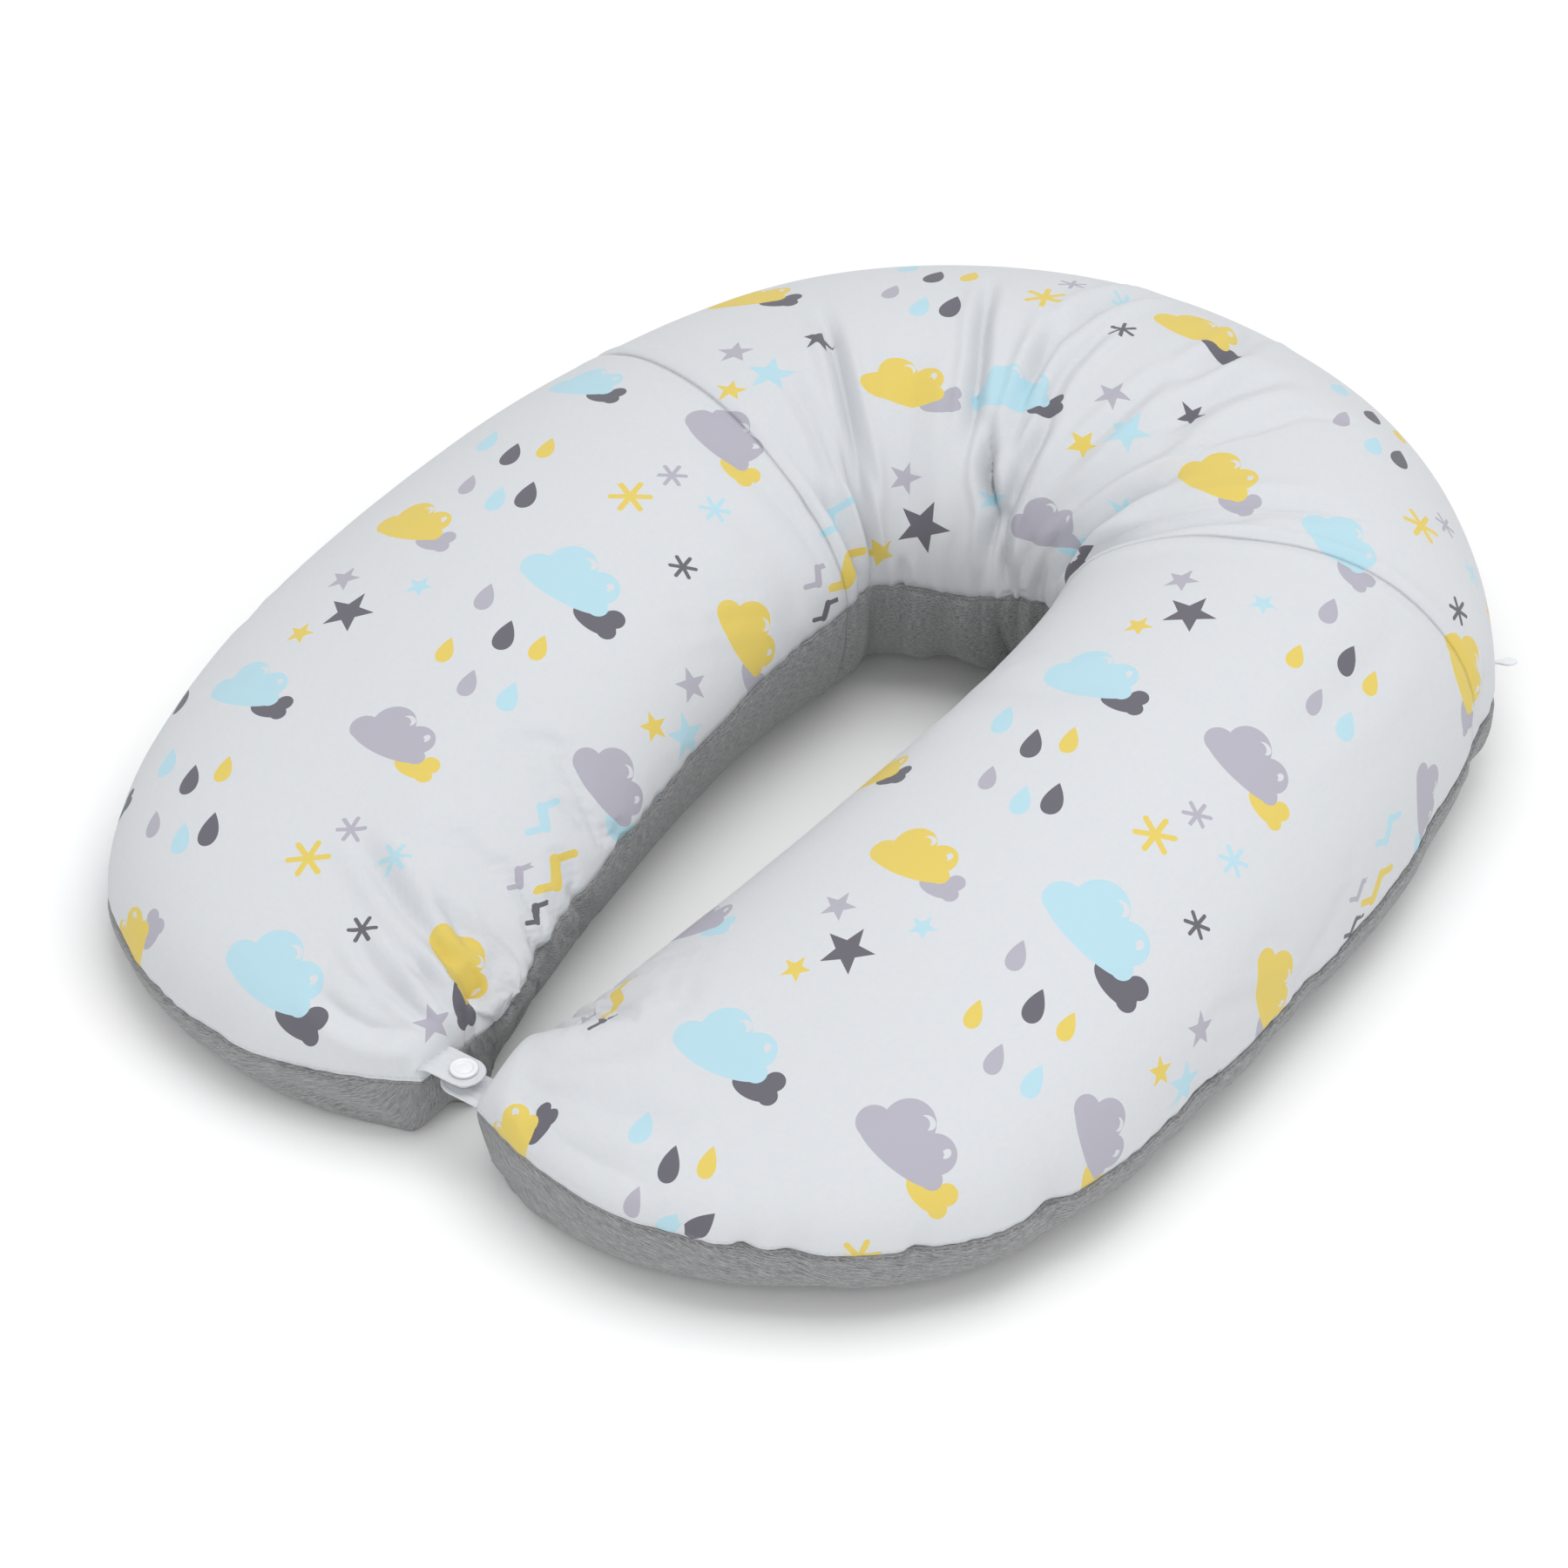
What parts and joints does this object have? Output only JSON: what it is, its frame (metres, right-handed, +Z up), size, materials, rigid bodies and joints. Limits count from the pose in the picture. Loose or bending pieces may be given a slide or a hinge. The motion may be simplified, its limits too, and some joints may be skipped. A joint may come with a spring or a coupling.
{
  "type": "nursing pillow",
  "caption": "Crescent nursing pillow bent into a ring, with a zipped cover, printed on top and jersey below, closed in front by a snap tab.",
  "frame": {"origin": "on the floor, under the middle of the pillow's box", "axes": "+Z up; +Y from the snap tab towards the bend; +X towards the arm that the zip ends beside"},
  "size_m": [0.6095, 0.7278, 0.1752],
  "materials": {
    "printed_cotton": "smooth white cotton, printed",
    "melange_jersey": "grey melange jersey",
    "case_cotton": "plain woven",
    "foam_beads": "loose foam beads",
    "zip_tape": "woven tape",
    "zip_plastic": "semi-gloss",
    "slider_paint": "white enamel",
    "snap_plastic": "semi-gloss"
  },
  "bodies": {
    "bend": {"bend_top_cover": "printed_cotton", "bend_bottom_cover": "melange_jersey", "bend_inner_case_top": "case_cotton", "bend_inner_case_bottom": "case_cotton", "bend_bead_filling": "foam_beads", "zip_tape_upper": "zip_tape", "zip_tape_lower": "zip_tape", "zip_coil_upper": "zip_plastic", "zip_coil_lower": "zip_plastic", "zip_top_stop_upper": "zip_plastic", "zip_top_stop_lower": "zip_plastic", "zip_bottom_stop": "zip_plastic"},
    "left_arm": {"left_arm_top_cover": "printed_cotton", "left_arm_bottom_cover": "melange_jersey", "left_arm_inner_case_top": "case_cotton", "left_arm_inner_case_bottom": "case_cotton", "left_arm_bead_filling": "foam_beads"},
    "right_arm": {"right_arm_top_cover": "printed_cotton", "right_arm_bottom_cover": "melange_jersey", "right_arm_inner_case_top": "case_cotton", "right_arm_inner_case_bottom": "case_cotton", "right_arm_bead_filling": "foam_beads", "right_end_tab": "printed_cotton", "snap_stud": "snap_plastic", "snap_back_cap": "snap_plastic"},
    "tab_flap": {"left_end_tab": "printed_cotton", "snap_cap": "snap_plastic", "snap_socket": "snap_plastic"},
    "zip_runner": {"zip_slider": "slider_paint"},
    "zip_grip": {"zip_pull": "zip_plastic"}
  },
  "joints": [
    {"name": "left_arm_open", "type": "hinge", "parent": "bend", "child": "left_arm", "pos_m": [-0.2746, 0.1261, 0.055], "axis": [0, 0, -1], "range_deg": [0, 22]},
    {"name": "right_arm_open", "type": "hinge", "parent": "bend", "child": "right_arm", "pos_m": [0.274, 0.1925, 0.049], "axis": [0, 0, 1], "range_deg": [0, 22]},
    {"name": "tab_lift", "type": "hinge", "parent": "left_arm", "child": "tab_flap", "pos_m": [-0.0165, -0.327, 0.0555], "axis": [0, -1, 0], "range_deg": [0, 80]},
    {"name": "zip_run", "type": "hinge", "parent": "bend", "child": "zip_runner", "pos_m": [0.015, 0.07, 0.055], "axis": [0, 0, 1], "range_deg": [0, 100]},
    {"name": "pull_swing", "type": "hinge", "parent": "zip_runner", "child": "zip_grip", "pos_m": [0.2439, 0.2554, 0.055], "axis": [0, 0, 1], "range_deg": [-75, 75]}
  ]
}
